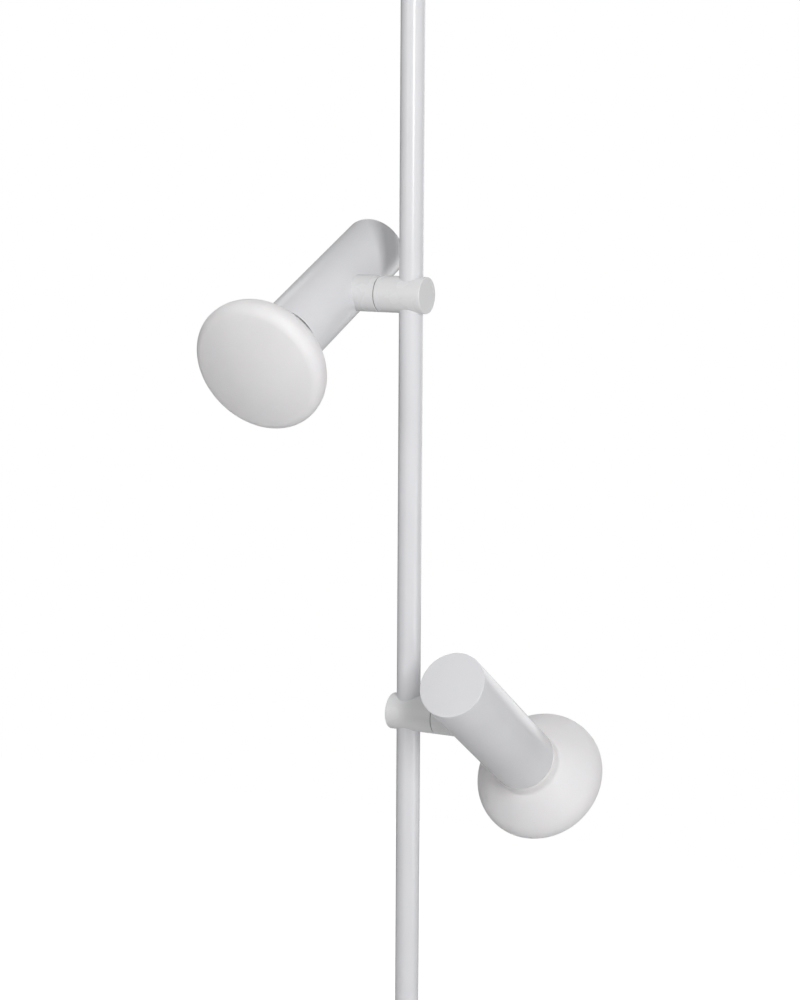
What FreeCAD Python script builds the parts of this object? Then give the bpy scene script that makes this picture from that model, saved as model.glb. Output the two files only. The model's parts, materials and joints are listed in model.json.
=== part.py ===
import FreeCAD, Part
import math
import os

# Tension pole lamp: a straight pole pressed between floor and ceiling by a spring in its top end, with
# two spot heads on opposite sides. Each head swivels round the pole on its clamp, tilts about its arm,
# and holds an opal mushroom-shaped lamp that unscrews. Millimetres and degrees, +Z up, the origin in
# the middle of the floor pad's underside. The upper arm runs along -X, the lower arm along +X.

# Pole
POLE_R = 12.5
POLE_BORE_R = 11.0
POLE_START = 20.0            # the pole stands on the foot's shoulder here
LOWER_JOINT = 740.0
UPPER_JOINT = 1840.0
POLE_TOP = 2150.0
SLEEVE_R = 10.95
SLEEVE_BORE_R = 9.45
SLEEVE_HALF = 40.0
JOINT_SCREW_R = 2.0
JOINT_SCREW_OFFSET = 20.0    # above and below each joint

# Foot
PAD_R = 32.0
PAD_HEIGHT = 4.0
PAD_RECESS = 1.5
FOOT_R = 35.0
FOOT_BOSS_R = 16.0
SPIGOT_TOP = 60.0

# Cable entry and internal wiring
GLAND_HEIGHT = 75.0
GLAND_HOLE_R = 5.0
GLAND_BORE_R = 3.3
BLOCK_BOTTOM = 95.0
BLOCK_TOP = 125.0
FEED_R = 2.5
FEED_OFFSET = 6.2            # the upper head's feed passes the lower head's lead at this distance
FEED_SHIFT_LOW = 1180.0      # it comes back to the axis between these heights
FEED_SHIFT_HIGH = 1420.0
LEAD_R = 2.0
LEAD_BEND = 12.0
LEAD_END = 29.0              # inside the lampholder, measured along the tube

# Telescopic top end
TELESCOPE_R = 10.9
TELESCOPE_BORE_R = 9.4
TELESCOPE_BOTTOM = 1945.0
TELESCOPE_TOP = 2290.0
SPRING_SEAT = 2080.0         # swaged ring inside the telescopic tube
SPRING_SEAT_R = 6.0
SPRING_WIRE_R = 1.1
SPRING_COIL_R = 7.6
SPRING_TURNS = 18
PISTON_BOTTOM = 2252.0
PISTON_HEIGHT = 9.9
PISTON_R = 9.3
PLUNGER_R = 6.0
PLUNGER_TOP = 2383.9
BUSH_BOTTOM = 2262.0
BUSH_FLANGE = 3.0
CEILING_CUP_R = 31.0
CEILING_PAD_R = 28.0
TOTAL_HEIGHT = 2400.0
COLLAR_R = 18.0
COLLAR_BOTTOM = 2130.0
COLLAR_TOP = 2166.0
THUMB_HEIGHT = 2158.0
THUMB_SHANK_R = 3.0
THUMB_HEAD_R = 9.0
THUMB_FLUTES = 14
LOCK_PAD_THICK = 2.0
COLLAR_SCREW_HEIGHT = 2139.0

# Heads: height of the arm, direction of the arm, downward tilt of the tube
UPPER_HEIGHT = 1520.0
UPPER_AZIMUTH = 180.0
UPPER_TILT = 24.0
LOWER_HEIGHT = 1080.0
LOWER_AZIMUTH = 0.0
LOWER_TILT = 33.6
ARM_REACH = 93.0             # pole axis to tube axis
SWIVEL_HALF = 75.0           # each way round the pole
TILT_HALF = 150.0            # each way from level

# Clamp
CLAMP_R = 19.0
CLAMP_END = 18.5             # free end, measured from the pole axis
CLAMP_FACE = 34.6
EDGE = 0.6
LINER_R = 13.6
LINER_BORE_R = 12.55
LINER_HALF = 10.9
CLAMP_SCREW_R = 3.0
PIN_R = 1.5
PIN_RADIUS = 14.0            # distance of the stop pin from the arm axis
PIN_REACH = 3.0

# Pivot along the arm
DISC_THICK = 0.8
DISC_R = 18.3
NIPPLE_R = 4.98
NIPPLE_BORE_R = 4.0
NIPPLE_START = 11.3          # its end stands in the slot of the pole wall
NIPPLE_END = 73.0
THREAD_HOLE_R = 5.0
PIVOT_HOLE_R = 5.05
STUB_FACE = CLAMP_FACE + DISC_THICK
STUB_WALL = 7.6
STUB_BORE_R = 15.5
GROOVE_DEPTH = 3.5
GROOVE_HALF_WIDTH = 1.7
WASHER_FLAT = 62.5
WASHER_HALF = 9.0
SHEET = 1.5
SPRING_DISC_R = 10.0
SPRING_DISC_HEIGHT = 2.0
NUT_FLATS = 17.0
NUT_HEIGHT = 5.0

# Head tube
TUBE_R = 35.0
TUBE_WALL = 1.5
TUBE_BACK = 102.5            # from the arm's axis back to the cap's face
TUBE_FRONT = 105.5           # from the arm's axis forward to the mouth
CAP_PLATE = 2.0
CAP_SPIGOT = 10.0
CAP_BEVEL = 0.8

# Lampholder, measured along the tube axis from the arm axis
BRACKET_FACE = 16.5
BRACKET_HALF_WIDTH = 12.0
HOLDER_SPIGOT = 9.0
HOLDER_R = 20.0
HOLDER_MOUTH = 60.0
HOLDER_FLOOR = 30.0
HOLDER_CAVITY_R = 14.3
SHELL_R = 14.25
SHELL_BORE_R = 13.55
SHELL_START = 34.0
SHELL_END = 58.0
CONTACT_TIP = 36.2

# Lamp
CAP_TIP = 36.25
CAP_THREAD_R = 13.1
CAP_THREAD_DEPTH = 0.7
CAP_THREAD_PITCH = 3.63
CAP_THREAD_RIDGES = 5
CAP_THREAD_START = 40.5
CAP_RIM_R = 16.5
CAP_RIM_END = 67.0
GLASS_START = 60.6
GLASS_STEM_R = 15.0
GLASS_STEM_END = 68.0
GLASS_NECK_R = 30.0
GLASS_NECK_START = 97.0
GLASS_COLLAR_R = 34.6        # outside the tube the neck widens to nearly the tube's own radius
GLASS_COLLAR_RISE = 4.6
GLASS_R = 71.0
GLASS_WIDEST = 160.0         # where the glass is widest
GLASS_WALL = 2.0
REAR_RIM_R = 26.0
REAR_BACK_R = 75.0
REAR_TURN = 40.0             # where the rim arc passes into the flatter back
NECK_FILLET_R = 4.0
FRONT_RIM_R = 13.0
FRONT_DEPTH = 22.0
LED_BOARD_R = 22.0
LED_BOARD_FACE = 107.6
LED_COUNT = 12
LED_RING_R = 15.0
LED_SIZE = 3.0

FIT = 0.05                   # radial clearance between parts that slide or turn
ORIGIN = FreeCAD.Vector(0, 0, 0)
X_AXIS = FreeCAD.Vector(1, 0, 0)
Y_AXIS = FreeCAD.Vector(0, 1, 0)
Z_AXIS = FreeCAD.Vector(0, 0, 1)


# ---------------------------------------------------------------- helpers

def rod(axis, radius, start, end, x=0.0, y=0.0, z=0.0):
    """Cylinder from start to end along axis, on the line through (x, y, z)."""
    base = FreeCAD.Vector(x, y, z) + axis * start
    return Part.makeCylinder(radius, end - start, base, axis)


def pipe(axis, radius, bore, start, end):
    """Straight tube on one of the main axes."""
    return rod(axis, radius, start, end).cut(rod(axis, bore, start, end))


def block(x_range, y_range, z_range):
    """Box between three pairs of limits."""
    size = [high - low for low, high in (x_range, y_range, z_range)]
    return Part.makeBox(*size, FreeCAD.Vector(x_range[0], y_range[0], z_range[0]))


def turned(outline):
    """Solid of revolution about +Z from its (radius, height) corners."""
    corners = [FreeCAD.Vector(radius, 0, height) for radius, height in outline]
    face = Part.Face(Part.makePolygon(corners + corners[:1]))
    return face.revolve(ORIGIN, Z_AXIS, 360)


def along_arm(shape):
    """Lay a part made along +Z on the arm axis, +X."""
    return shape.rotated(ORIGIN, Y_AXIS, 90)


def along_tube(shape):
    """Lay a part made along +Z on the head tube's axis, +Y at the arm's reach."""
    return shape.rotated(ORIGIN, X_AXIS, -90).translated(FreeCAD.Vector(ARM_REACH, 0, 0))


def hexagon(across_flats, start, end):
    """Hexagonal prism along +Z."""
    radius = across_flats / 2 / math.cos(math.radians(30))
    corners = []
    for step in range(6):
        angle = math.radians(60 * step)
        corners.append(FreeCAD.Vector(radius * math.cos(angle), radius * math.sin(angle), start))
    face = Part.Face(Part.makePolygon(corners + corners[:1]))
    return face.extrude(Z_AXIS * (end - start))


def set_screw(radius, tip, end, socket_flats):
    """Headless screw along +Y with a hexagon socket in its outer end."""
    edge = radius * 0.15
    body = turned([(0, tip), (radius - edge, tip), (radius, tip + edge), (radius, end - edge),
                   (radius - edge, end), (0, end)])
    socket_depth = (end - tip) * 0.6
    body = body.cut(hexagon(socket_flats, end - socket_depth, end))
    return body.rotated(ORIGIN, X_AXIS, -90)


def bent_path(corners, radius):
    """Straight runs through the corners, joined by tangent arcs of one radius."""
    edges = []
    start = corners[0]
    for before, corner, after in zip(corners, corners[1:], corners[2:]):
        inward = (corner - before).normalize()
        outward = (after - corner).normalize()
        turn = inward.getAngle(outward)
        setback = radius * math.tan(turn / 2)
        arc_start = corner - inward * setback
        arc_end = corner + outward * setback
        to_centre = (outward - inward).normalize()
        arc_middle = corner + to_centre * (radius / math.cos(turn / 2) - radius)
        edges.append(Part.LineSegment(start, arc_start).toShape())
        edges.append(Part.Arc(arc_start, arc_middle, arc_end).toShape())
        start = arc_end
    edges.append(Part.LineSegment(start, corners[-1]).toShape())
    return Part.Wire(edges)


def swept(path, radius, direction):
    """Round bar along a path that sets out in the given direction."""
    ring = Part.Wire(Part.makeCircle(radius, path.Edges[0].Vertexes[0].Point, direction))
    return path.makePipeShell([ring], True, False)


# ---------------------------------------------------------------- foot and pole

def floor_pad():
    """Rubber disc that stands on the floor."""
    edge = 1.0
    return turned([(0, 0), (PAD_R - edge, 0), (PAD_R, edge), (PAD_R, PAD_HEIGHT), (0, PAD_HEIGHT)])


def floor_foot():
    """Turned foot: a disc over the pad, a boss under the pole and a spigot inside it."""
    recess_r = PAD_R + 0.1
    rim = PAD_HEIGHT - PAD_RECESS
    return turned([
        (0, PAD_HEIGHT), (recess_r, PAD_HEIGHT), (recess_r, rim), (FOOT_R - 0.5, rim),
        (FOOT_R, rim + 0.5), (FOOT_R, 9.0), (FOOT_R - 1.5, 10.5), (FOOT_BOSS_R, 15.0),
        (FOOT_BOSS_R, POLE_START - 0.5), (FOOT_BOSS_R - 0.5, POLE_START), (SLEEVE_R, POLE_START),
        (SLEEVE_R, SPIGOT_TOP - 1.0), (SLEEVE_R - 1.0, SPIGOT_TOP), (8.0, SPIGOT_TOP), (8.0, 14.0),
        (0, 14.0),
    ])


def cable_gland():
    """Snap-in bush in the pole wall: an outer flange, a waist in the hole and an inner lip."""
    flange = rod(Y_AXIS, 7.5, 8.0, POLE_R + 2.5, z=GLAND_HEIGHT)
    flange = flange.cut(rod(Z_AXIS, POLE_R + 0.02, 0, 2 * GLAND_HEIGHT))
    waist = rod(Y_AXIS, GLAND_HOLE_R - 0.02, 9.0, POLE_R + 1.5, z=GLAND_HEIGHT)
    lip = rod(Y_AXIS, 6.2, 7.0, POLE_R, z=GLAND_HEIGHT)
    lip = lip.common(rod(Z_AXIS, POLE_BORE_R - 0.02, 0, 2 * GLAND_HEIGHT))
    gland = flange.fuse(waist).fuse(lip)
    return gland.cut(rod(Y_AXIS, GLAND_BORE_R, 0, 2 * POLE_R, z=GLAND_HEIGHT))


def terminal_block():
    """Round connector block that plugs the pole above the gland."""
    body = rod(Z_AXIS, SLEEVE_R, BLOCK_BOTTOM, BLOCK_TOP)
    socket = 8.0
    body = body.cut(rod(Z_AXIS, GLAND_BORE_R, BLOCK_BOTTOM, BLOCK_BOTTOM + socket))
    for x in (0.0, -FEED_OFFSET):
        body = body.cut(rod(Z_AXIS, FEED_R + FIT, BLOCK_TOP - socket, BLOCK_TOP, x=x))
    for height in (BLOCK_BOTTOM + 12, BLOCK_TOP - 12):
        body = body.cut(rod(Y_AXIS, 2.0, 4.0, 2 * POLE_R, z=height))
    return body


def slot(height, azimuth):
    """Cutter for the pole's wire slot: a band round the wall, as wide as the swivel needs."""
    half_height = NIPPLE_R + 0.3
    corners = [FreeCAD.Vector(radius, 0, height + side * half_height)
               for radius, side in ((9, -1), (POLE_R + 1, -1), (POLE_R + 1, 1), (9, 1))]
    section = Part.Face(Part.makePolygon(corners + corners[:1]))
    section.rotate(ORIGIN, Z_AXIS, azimuth - SWIVEL_HALF)
    cutter = section.revolve(ORIGIN, Z_AXIS, 2 * SWIVEL_HALF)
    for end in (-SWIVEL_HALF, SWIVEL_HALF):
        angle = math.radians(azimuth + end)
        direction = FreeCAD.Vector(math.cos(angle), math.sin(angle), 0)
        cutter = cutter.fuse(rod(direction, half_height, 5.0, POLE_R + 1, z=height))
    return cutter


def screw_heights(joint):
    """Heights of the two set screws of a pole joint."""
    return joint - JOINT_SCREW_OFFSET, joint + JOINT_SCREW_OFFSET


def pole_section(start, end):
    """Length of pole tube with the screw holes of the joints that it reaches."""
    tube = pipe(Z_AXIS, POLE_R, POLE_BORE_R, start, end)
    for joint in (LOWER_JOINT, UPPER_JOINT):
        for height in screw_heights(joint):
            if start < height < end:
                tube = tube.cut(rod(Y_AXIS, JOINT_SCREW_R, 0, 2 * POLE_R, z=height))
    return tube


def pole_lower():
    tube = pole_section(POLE_START, LOWER_JOINT)
    return tube.cut(rod(Y_AXIS, GLAND_HOLE_R, 0, 2 * POLE_R, z=GLAND_HEIGHT))


def pole_middle():
    tube = pole_section(LOWER_JOINT, UPPER_JOINT)
    tube = tube.cut(slot(UPPER_HEIGHT, UPPER_AZIMUTH))
    return tube.cut(slot(LOWER_HEIGHT, LOWER_AZIMUTH))


def joint_sleeves():
    """One sleeve inside each pole joint."""
    sleeves = []
    for joint in (LOWER_JOINT, UPPER_JOINT):
        sleeve = pipe(Z_AXIS, SLEEVE_R, SLEEVE_BORE_R, joint - SLEEVE_HALF, joint + SLEEVE_HALF)
        for height in screw_heights(joint):
            sleeve = sleeve.cut(rod(Y_AXIS, JOINT_SCREW_R, 0, 2 * POLE_R, z=height))
        sleeves.append(sleeve)
    return Part.makeCompound(sleeves)


def joint_screws():
    """Set screws of both joints and of the collar, on the back of the pole."""
    screw = set_screw(JOINT_SCREW_R - 0.02, SLEEVE_BORE_R, POLE_R - 0.3, 2.0)
    collar_screw = set_screw(JOINT_SCREW_R - 0.02, POLE_R + 0.02, COLLAR_R - 0.4, 2.0)
    screws = [collar_screw.translated(Z_AXIS * COLLAR_SCREW_HEIGHT)]
    for joint in (LOWER_JOINT, UPPER_JOINT):
        for height in screw_heights(joint):
            screws.append(screw.translated(Z_AXIS * height))
    return Part.makeCompound(screws)


def feed_cables():
    """Internal cables from the terminal block to the height of each clamp."""
    start = BLOCK_TOP - 8.0
    gap = LEAD_R + 0.1
    lower = rod(Z_AXIS, FEED_R, start, LOWER_HEIGHT - gap)
    corners = [FreeCAD.Vector(x, 0, z) for x, z in (
        (-FEED_OFFSET, start), (-FEED_OFFSET, FEED_SHIFT_LOW), (0, FEED_SHIFT_HIGH),
        (0, UPPER_HEIGHT - gap))]
    path = bent_path(corners, 1000.0)
    upper = swept(path, FEED_R, Z_AXIS)
    print("feed cable volume over section times length:",
          round(upper.Volume / (math.pi * FEED_R ** 2 * path.Length), 4))
    return Part.makeCompound([lower, upper])


# ---------------------------------------------------------------- telescopic top end

def lock_collar():
    """Collar on the top of the pole; its upper part guides the telescopic tube."""
    edge = 1.0
    body = turned([
        (POLE_R + 0.02, COLLAR_BOTTOM), (COLLAR_R - edge, COLLAR_BOTTOM), (COLLAR_R, COLLAR_BOTTOM + edge),
        (COLLAR_R, COLLAR_TOP - edge), (COLLAR_R - edge, COLLAR_TOP), (TELESCOPE_R + 0.1, COLLAR_TOP),
        (TELESCOPE_R + 0.1, POLE_TOP), (POLE_R + 0.02, POLE_TOP),
    ])
    body = body.cut(rod(Y_AXIS, JOINT_SCREW_R, 0, 2 * COLLAR_R, z=COLLAR_SCREW_HEIGHT))
    return body.cut(rod(Y_AXIS, THUMB_SHANK_R, 0, 2 * COLLAR_R, z=THUMB_HEIGHT))


def lock_pad():
    """Nylon pad that the thumb screw presses on the telescopic tube; it doesn't turn."""
    face = TELESCOPE_R + FIT
    return rod(Y_AXIS, THUMB_SHANK_R - FIT, face, face + LOCK_PAD_THICK, z=THUMB_HEIGHT)


def thumb_screw():
    """Locking screw with a fluted head, pointing to the back."""
    tip = TELESCOPE_R + FIT + LOCK_PAD_THICK + 0.02
    neck = COLLAR_R + 1.0
    end = neck + 11.0
    shank = THUMB_SHANK_R - FIT
    body = turned([
        (0, tip), (shank - 0.5, tip), (shank, tip + 0.5), (shank, neck - 0.5), (6.0, neck), (6.0, neck + 2),
        (THUMB_HEAD_R - 1, neck + 2), (THUMB_HEAD_R, neck + 3), (THUMB_HEAD_R, end - 1),
        (THUMB_HEAD_R - 1, end), (0, end),
    ])
    for step in range(THUMB_FLUTES):
        angle = 2 * math.pi * step / THUMB_FLUTES
        x = (THUMB_HEAD_R + 0.6) * math.cos(angle)
        y = (THUMB_HEAD_R + 0.6) * math.sin(angle)
        body = body.cut(rod(Z_AXIS, 1.1, neck + 1, end + 1, x=x, y=y))
    return body.rotated(ORIGIN, X_AXIS, -90).translated(Z_AXIS * THUMB_HEIGHT)


def telescopic_tube():
    """Inner tube with the swaged ring that the spring stands on."""
    ring = 2.0
    return turned([
        (TELESCOPE_BORE_R, TELESCOPE_BOTTOM), (TELESCOPE_R, TELESCOPE_BOTTOM),
        (TELESCOPE_R, TELESCOPE_TOP), (TELESCOPE_BORE_R, TELESCOPE_TOP), (TELESCOPE_BORE_R, SPRING_SEAT),
        (SPRING_SEAT_R, SPRING_SEAT), (SPRING_SEAT_R, SPRING_SEAT - ring),
        (TELESCOPE_BORE_R, SPRING_SEAT - ring),
    ])


def plunger_bush():
    """Nylon bush in the tube's mouth: it guides the rod and stops the piston."""
    outer = TELESCOPE_BORE_R - FIT
    bore = PLUNGER_R + FIT
    top = TELESCOPE_TOP + BUSH_FLANGE
    edge = 0.8
    return turned([
        (bore, BUSH_BOTTOM), (outer, BUSH_BOTTOM), (outer, TELESCOPE_TOP), (TELESCOPE_R, TELESCOPE_TOP),
        (TELESCOPE_R, top - edge), (TELESCOPE_R - edge, top), (bore, top),
    ])


def helix_point(angle, start, pitch):
    """Point of the spring's centre line, and its direction, at an angle in radians."""
    rise = pitch / (2 * math.pi)
    point = FreeCAD.Vector(SPRING_COIL_R * math.cos(angle), SPRING_COIL_R * math.sin(angle),
                           start + rise * angle)
    direction = FreeCAD.Vector(-SPRING_COIL_R * math.sin(angle), SPRING_COIL_R * math.cos(angle), rise)
    return point, direction.normalize()


def arc_from(start, corner, end):
    """Arc that leaves start and reaches end along the lines to their common corner."""
    weight = (end - start).Length / (2 * (corner - start).Length)
    middle = ((start + end) * 0.5 + corner * weight) * (1 / (1 + weight))
    return Part.Arc(start, middle, end).toShape()


def biarc(start, leaving, end, arriving):
    """Two tangent arcs between two points with given directions."""
    span = end - start
    both = leaving + arriving
    a = 2 * (1 - leaving.dot(arriving))
    b = 2 * span.dot(both)
    c = -span.dot(span)
    reach = (-b + math.sqrt(b * b - 4 * a * c)) / (2 * a)
    first = start + leaving * reach
    second = end - arriving * reach
    meet = (first + second) * 0.5
    return [arc_from(start, first, meet), arc_from(meet, second, end)]


def least_gap(points, turn_points, thickness):
    """Smallest clear distance between points of the centre line that lie a turn or so apart."""
    gaps = []
    for index, point in enumerate(points):
        for other in points[index + turn_points // 2:index + 2 * turn_points]:
            gaps.append(point.distanceToPoint(other) - thickness)
    return min(gaps)


def tension_spring():
    """Compression spring between the tube's ring and the plunger's piston."""
    start = SPRING_SEAT + SPRING_WIRE_R + 0.1
    end = PISTON_BOTTOM - SPRING_WIRE_R - 0.1
    pitch = (end - start) / SPRING_TURNS
    edges = []
    points = []
    for step in range(2 * SPRING_TURNS):
        point, leaving = helix_point(math.pi * step, start, pitch)
        after, arriving = helix_point(math.pi * (step + 1), start, pitch)
        edges += biarc(point, leaving, after, arriving)
        points += [helix_point(math.pi * (step + part / 12), start, pitch)[0] for part in range(12)]
    first, direction = helix_point(0, start, pitch)
    spring = swept(Part.Wire(edges), SPRING_WIRE_R, direction)
    gap = least_gap(points, 24, 2 * SPRING_WIRE_R)
    print("tension spring: turns", SPRING_TURNS, "least gap", round(gap, 2))
    return spring


def plunger_rod():
    """Rod with a piston at its foot, pushed up by the spring."""
    shoulder = PISTON_BOTTOM + PISTON_HEIGHT
    return turned([
        (0, PISTON_BOTTOM), (PISTON_R, PISTON_BOTTOM), (PISTON_R, shoulder), (PLUNGER_R, shoulder),
        (PLUNGER_R, PLUNGER_TOP - 0.5), (PLUNGER_R - 0.5, PLUNGER_TOP), (0, PLUNGER_TOP),
    ])


def ceiling_cup():
    """Turned cup on the rod with a recess for the ceiling pad."""
    socket_r = PLUNGER_R + FIT
    rim = TOTAL_HEIGHT - 3.0
    recess = TOTAL_HEIGHT - 4.5
    return turned([
        (socket_r, 2362.0), (9.0, 2362.0), (10.0, 2363.0), (11.5, 2378.0), (15.0, 2384.0),
        (CEILING_CUP_R - 1.5, 2389.5), (CEILING_CUP_R, 2391.0), (CEILING_CUP_R, rim - 0.5),
        (CEILING_CUP_R - 0.5, rim), (CEILING_PAD_R + 0.1, rim), (CEILING_PAD_R + 0.1, recess),
        (0, recess), (0, 2384.0), (socket_r, 2384.0),
    ])


def ceiling_pad():
    """Rubber disc that presses against the ceiling."""
    bottom = TOTAL_HEIGHT - 4.5
    return turned([(0, bottom), (CEILING_PAD_R, bottom), (CEILING_PAD_R, TOTAL_HEIGHT - 1.0),
                   (CEILING_PAD_R - 1.0, TOTAL_HEIGHT), (0, TOTAL_HEIGHT)])


# ---------------------------------------------------------------- clamp and pivot, arm along +X

def clamp_body(screw_side):
    """Horizontal cylinder with the pole's bore across it and the pivot's thread in its face."""
    body = along_arm(turned([
        (0, -CLAMP_END), (CLAMP_R - EDGE, -CLAMP_END), (CLAMP_R, EDGE - CLAMP_END),
        (CLAMP_R, CLAMP_FACE - EDGE / 2), (CLAMP_R - EDGE / 2, CLAMP_FACE), (0, CLAMP_FACE),
    ]))
    body = body.cut(rod(Z_AXIS, POLE_R + 0.3, -CLAMP_R, CLAMP_R))
    body = body.cut(rod(Z_AXIS, LINER_R + FIT, -LINER_HALF - FIT, LINER_HALF + FIT))
    body = body.cut(rod(X_AXIS, THREAD_HOLE_R, 0, CLAMP_FACE))
    body = body.cut(rod(Y_AXIS * screw_side, CLAMP_SCREW_R, 0, CLAMP_R))
    return body.cut(rod(X_AXIS, PIN_R, CLAMP_FACE - 4.1, CLAMP_FACE, z=-PIN_RADIUS))


def clamp_liner():
    """Split nylon sleeve between clamp and pole, with a hole for the nipple."""
    sleeve = pipe(Z_AXIS, LINER_R, LINER_BORE_R, -LINER_HALF, LINER_HALF)
    sleeve = sleeve.cut(rod(X_AXIS, NIPPLE_R + 0.2, 0, CLAMP_R))
    split = 1.0
    return sleeve.cut(block((-CLAMP_R, 0), (-split, split), (-CLAMP_R, CLAMP_R)))


def clamp_screw(screw_side):
    """Set screw that presses the liner against the pole."""
    screw = set_screw(CLAMP_SCREW_R - 0.02, LINER_R + FIT, CLAMP_R - 0.6, 3.0)
    turn = 0 if screw_side > 0 else 180
    return screw.rotated(ORIGIN, Z_AXIS, turn)


def stop_pin():
    """Pin in the clamp's face that runs in the arm stub's groove."""
    return rod(X_AXIS, PIN_R - 0.01, CLAMP_FACE - 4.0, STUB_FACE + PIN_REACH, z=-PIN_RADIUS)


def friction_disc():
    """Thin disc in the seam between clamp and stub."""
    disc = pipe(X_AXIS, DISC_R, NIPPLE_R + 0.1, CLAMP_FACE, STUB_FACE - 0.02)
    return disc.cut(rod(X_AXIS, PIN_R + 0.1, CLAMP_FACE - 1, STUB_FACE, z=-PIN_RADIUS))


def pivot_nipple():
    """Hollow threaded tube that the head turns on; the lead runs through it."""
    return pipe(X_AXIS, NIPPLE_R, NIPPLE_BORE_R, NIPPLE_START, NIPPLE_END)


def disc_spring():
    """Conical spring washer that keeps the friction steady."""
    flat = WASHER_FLAT + SHEET
    bore = NIPPLE_R + 0.2
    return along_arm(turned([(bore, flat + 1), (SPRING_DISC_R, flat + 0.02), (SPRING_DISC_R, flat + 1),
                             (bore, flat + SPRING_DISC_HEIGHT)]))


def pivot_nut():
    """Thin nut on the nipple's end, inside the head tube."""
    start = WASHER_FLAT + SHEET + SPRING_DISC_HEIGHT
    nut = hexagon(NUT_FLATS, start, start + NUT_HEIGHT)
    return along_arm(nut).cut(rod(X_AXIS, THREAD_HOLE_R, start - 1, start + NUT_HEIGHT + 1))


# ---------------------------------------------------------------- head, tube along +Y before tilting

def stop_groove():
    """Cutter for the round-ended groove that lets the stub turn past the stop pin."""
    start = STUB_FACE - 1
    turn = math.radians(TILT_HALF)

    def point(radius, angle, past=0.0):
        """Point at an angle from straight down, or past that angle by a length along the tangent."""
        return FreeCAD.Vector(start, radius * math.sin(angle) + past * math.cos(angle),
                              past * math.sin(angle) - radius * math.cos(angle))

    outer = PIN_RADIUS + GROOVE_HALF_WIDTH
    inner = PIN_RADIUS - GROOVE_HALF_WIDTH
    edges = [
        Part.Arc(point(outer, -turn), point(outer, 0), point(outer, turn)),
        Part.Arc(point(outer, turn), point(PIN_RADIUS, turn, GROOVE_HALF_WIDTH), point(inner, turn)),
        Part.Arc(point(inner, turn), point(inner, 0), point(inner, -turn)),
        Part.Arc(point(inner, -turn), point(PIN_RADIUS, -turn, -GROOVE_HALF_WIDTH), point(outer, -turn)),
    ]
    outline = Part.Wire([edge.toShape() for edge in edges])
    return Part.Face(outline).extrude(X_AXIS * (GROOVE_DEPTH + 1))


def arm_stub():
    """Short hollow arm whose end is hollowed to sit on the head tube."""
    stub = along_arm(turned([
        (0, STUB_FACE), (CLAMP_R - EDGE / 2, STUB_FACE), (CLAMP_R, STUB_FACE + EDGE / 2),
        (CLAMP_R, ARM_REACH), (0, ARM_REACH),
    ]))
    stub = stub.cut(rod(X_AXIS, STUB_BORE_R, STUB_FACE + STUB_WALL, ARM_REACH))
    stub = stub.cut(rod(X_AXIS, PIVOT_HOLE_R, 0, ARM_REACH))
    stub = stub.cut(rod(Y_AXIS, TUBE_R + 0.03, -TUBE_BACK, TUBE_FRONT, x=ARM_REACH))
    return stub.cut(stop_groove())


def head_tube():
    """Straight tube of the head, open at the glass."""
    bore = TUBE_R - TUBE_WALL
    edge = 0.3
    rear = CAP_PLATE - TUBE_BACK
    tube = along_tube(turned([
        (bore, rear), (TUBE_R, rear), (TUBE_R, TUBE_FRONT - edge), (TUBE_R - edge, TUBE_FRONT),
        (bore + edge, TUBE_FRONT), (bore, TUBE_FRONT - edge),
    ]))
    return tube.cut(rod(X_AXIS, PIVOT_HOLE_R, 0, ARM_REACH))


def back_cap():
    """Flat cap with a bevelled edge and a spigot that pushes into the tube."""
    rear = -TUBE_BACK
    seat = rear + CAP_PLATE
    outer = TUBE_R - TUBE_WALL - 0.03
    inner = outer - 1.5
    return along_tube(turned([
        (0, rear), (TUBE_R - CAP_BEVEL, rear), (TUBE_R, rear + CAP_BEVEL), (TUBE_R, seat), (outer, seat),
        (outer, seat + CAP_SPIGOT - 1), (outer - 0.5, seat + CAP_SPIGOT), (inner, seat + CAP_SPIGOT),
        (inner, seat + 0.5), (0, seat + 0.5),
    ]))


def saddle_washer():
    """Pad between the tube's round wall and the flat parts on the pivot."""
    pad = block((ARM_REACH - TUBE_R, WASHER_FLAT), (-WASHER_HALF, WASHER_HALF),
                (-WASHER_HALF, WASHER_HALF))
    pad = pad.common(rod(Y_AXIS, TUBE_R - TUBE_WALL - 0.03, -TUBE_BACK, TUBE_FRONT, x=ARM_REACH))
    return pad.cut(rod(X_AXIS, PIVOT_HOLE_R, 0, ARM_REACH))


def holder_bracket():
    """Sheet angle: one leg under the pivot nut, the other across the tube with the holder's thread."""
    width = (-BRACKET_HALF_WIDTH, BRACKET_HALF_WIDTH)
    foot = block((WASHER_FLAT, WASHER_FLAT + SHEET), (-11.0, BRACKET_FACE), width)
    cross = block((WASHER_FLAT, ARM_REACH + BRACKET_HALF_WIDTH), (BRACKET_FACE - SHEET, BRACKET_FACE), width)
    bracket = foot.fuse(cross).removeSplitter()
    outer_bend = [edge for edge in bracket.Edges
                  if edge.Length > 20 and abs(edge.CenterOfMass.x - WASHER_FLAT) < 0.01
                  and abs(edge.CenterOfMass.y - BRACKET_FACE) < 0.01]
    bracket = bracket.makeFillet(SHEET, outer_bend)
    bracket = bracket.cut(rod(X_AXIS, PIVOT_HOLE_R, 0, ARM_REACH))
    return bracket.cut(rod(Y_AXIS, THREAD_HOLE_R, 0, 2 * BRACKET_FACE, x=ARM_REACH))


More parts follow.
